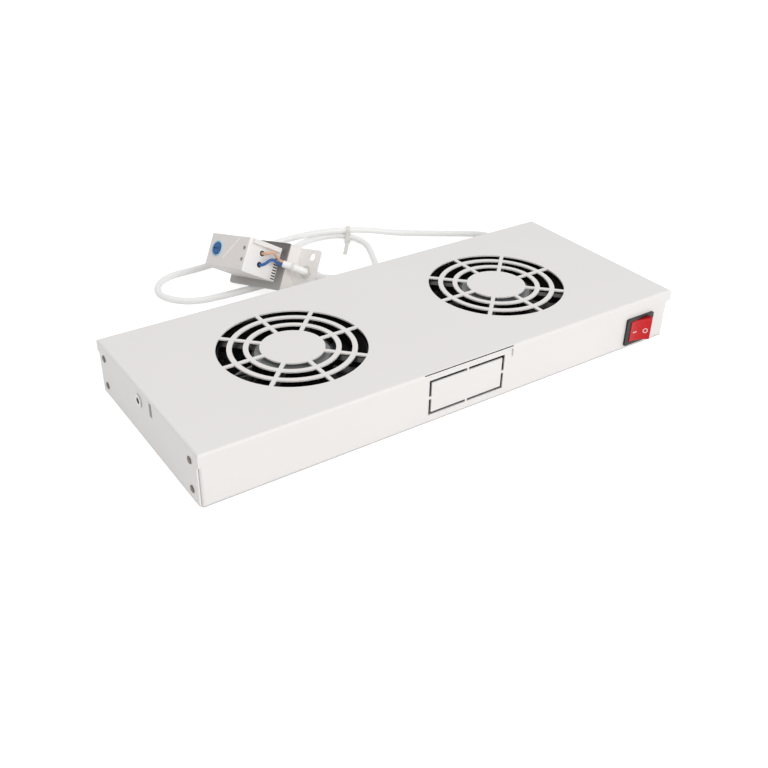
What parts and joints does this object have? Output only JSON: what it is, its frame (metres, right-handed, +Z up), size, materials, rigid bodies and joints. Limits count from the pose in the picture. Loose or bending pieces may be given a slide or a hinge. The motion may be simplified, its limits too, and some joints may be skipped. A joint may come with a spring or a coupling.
{
  "type": "rack fan tray",
  "caption": "Low white sheet-steel tray with round fan grilles, a red rocker switch, a knock-out for a controller, and a cabinet thermostat on a Z bracket at the end of a white cable",
  "frame": {"origin": "middle of the tray's underside", "axes": "+X along the tray's length with the switch at the +X end, +Y from the switch's front wall to the back wall, +Z up"},
  "size_m": [0.447, 0.3543, 0.0662],
  "materials": {
    "white_steel": "white powder coat, fine satin",
    "white_steel_inside": "white powder coat, fine satin",
    "dark_screw": "black oxide",
    "zinc": "zinc plated",
    "fan_black": "glossy black",
    "motor_grey": "grey enamel",
    "shaft_steel": "ground steel",
    "bronze": "sintered bronze",
    "copper_iron": "varnished windings",
    "switch_black": "smooth black",
    "switch_red": "clear red",
    "brass": "plain",
    "inlet_black": "moulded",
    "gland_white": "moulded nylon",
    "seal_rubber": "matt",
    "block_white": "natural nylon",
    "wire_brown": "PVC",
    "wire_blue": "PVC",
    "wire_green": "green and yellow PVC",
    "stat_grey": "light grey, fine texture",
    "dial_blue": "smooth",
    "cable_white": "white PVC",
    "tie_white": "natural nylon"
  },
  "bodies": {
    "tray": {"top_cover": "white_steel", "body_tray": "white_steel_inside", "end_screws": "dark_screw", "threaded_inserts": "zinc", "switch_housing": "switch_black", "switch_terminals": "brass", "inlet_housing": "inlet_black", "inlet_pins": "brass", "gland_body": "gland_white", "gland_nut": "gland_white", "gland_seal": "seal_rubber", "terminal_block": "block_white", "terminal_block_screw": "zinc", "earth_stud": "zinc", "live_wires": "wire_brown", "neutral_wires": "wire_blue", "earth_wire": "wire_green", "lead_inside": "cable_white", "thermostat_housing": "stat_grey", "thermostat_base": "stat_grey", "thermostat_terminals": "brass", "thermostat_screws": "zinc", "z_bracket": "white_steel", "bracket_grommet": "seal_rubber", "lead_sheath_end": "cable_white", "brown_core": "wire_brown", "blue_core": "wire_blue", "sheath_band": "tie_white", "thermostat_lead": "cable_white", "cable_tie": "tie_white", "fan_left_frame": "fan_black", "fan_left_bearings": "bronze", "fan_left_stator": "copper_iron", "fan_left_motor_plate": "motor_grey", "fan_left_screws": "zinc", "fan_left_nuts": "zinc", "fan_left_lead": "wire_brown", "fan_right_frame": "fan_black", "fan_right_bearings": "bronze", "fan_right_stator": "copper_iron", "fan_right_motor_plate": "motor_grey", "fan_right_screws": "zinc", "fan_right_nuts": "zinc", "fan_right_lead": "wire_brown"},
    "rocker": {"switch_rocker": "switch_red"},
    "thermostat_dial": {"thermostat_dial": "dial_blue"},
    "rotor_left": {"fan_left_impeller": "fan_black", "fan_left_shaft": "shaft_steel", "fan_left_rotor_ring": "shaft_steel"},
    "rotor_right": {"fan_right_impeller": "fan_black", "fan_right_shaft": "shaft_steel", "fan_right_rotor_ring": "shaft_steel"}
  },
  "joints": [
    {"name": "fan_left_spin", "type": "hinge", "parent": "tray", "child": "rotor_left", "pos_m": [-0.101, 0, 0.02], "axis": [0, 0, 1], "continuous": true},
    {"name": "fan_right_spin", "type": "hinge", "parent": "tray", "child": "rotor_right", "pos_m": [0.101, 0, 0.02], "axis": [0, 0, 1], "continuous": true},
    {"name": "rocker_swing", "type": "hinge", "parent": "tray", "child": "rocker", "pos_m": [0.188, -0.088, 0.016], "axis": [0, 0, 1], "range_deg": [0, 34]},
    {"name": "dial_turn", "type": "hinge", "parent": "tray", "child": "thermostat_dial", "pos_m": [-0.07111, 0.1894, 0.04558], "axis": [-0.843, -0.0638, 0.5341], "range_deg": [-135, 135]}
  ]
}
